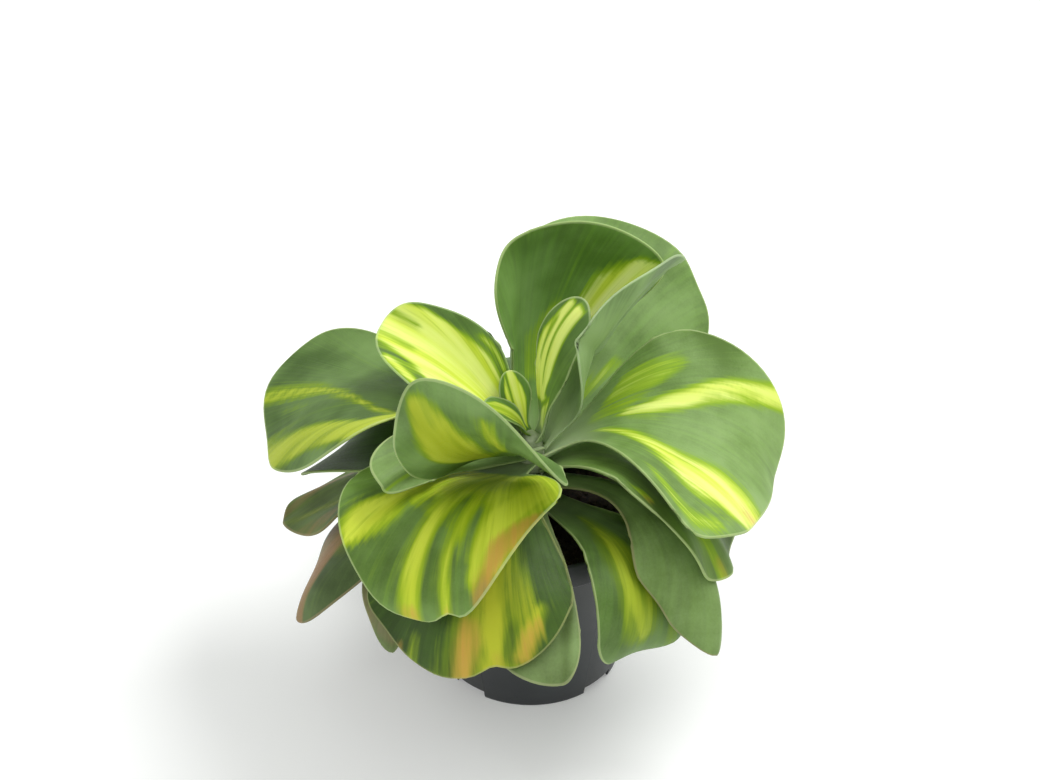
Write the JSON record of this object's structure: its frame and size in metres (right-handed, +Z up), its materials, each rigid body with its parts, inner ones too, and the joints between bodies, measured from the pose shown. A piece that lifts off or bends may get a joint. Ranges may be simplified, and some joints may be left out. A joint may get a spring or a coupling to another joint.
{
  "type": "potted paddle plant",
  "caption": "Succulent with broad yellow and green paddle leaves on a short stem, growing in a tapered black nursery pot that stands on a flat base.",
  "frame": {"origin": "middle of the flat disc under the pot, on the surface that the pot stands on", "axes": "+Z up along the pot's axis, -Y towards the front of the plant, +X to its right as seen from the front"},
  "size_m": [0.2455, 0.253, 0.2204],
  "materials": {
    "pot_plastic": "moulded charcoal plastic with a soft sheen",
    "potting_soil": "dark crumbly potting soil",
    "stem_skin": "pale whitish green succulent stem",
    "leaf_variegated": "waxy succulent skin, green with yellow bands and a pale margin",
    "leaf_green": "waxy grey green succulent skin with a powdery bloom"
  },
  "bodies": {
    "root": {"pot": "pot_plastic", "soil": "potting_soil", "stem": "stem_skin", "leaf_bud_front": "leaf_variegated", "leaf_bud_back": "leaf_variegated", "leaf_inner_right": "leaf_variegated", "leaf_up_left": "leaf_variegated", "leaf_cup_front": "leaf_variegated", "leaf_back_edge": "leaf_variegated", "leaf_left": "leaf_variegated", "leaf_back": "leaf_variegated", "leaf_right": "leaf_variegated", "leaf_small_left": "leaf_variegated", "leaf_front": "leaf_variegated", "leaf_back_right": "leaf_variegated", "leaf_right_lower1": "leaf_variegated", "leaf_left_under": "leaf_green", "leaf_front_low": "leaf_variegated", "leaf_back_low1": "leaf_green", "leaf_right_lower2": "leaf_green", "leaf_left_low": "leaf_green", "leaf_back_low3": "leaf_green", "leaf_front_old": "leaf_green", "leaf_left_folded": "leaf_green", "leaf_back_low2": "leaf_green", "leaf_right_lower3": "leaf_variegated", "leaf_left_old": "leaf_green", "leaf_back_low4": "leaf_green"}
  },
  "joints": []
}
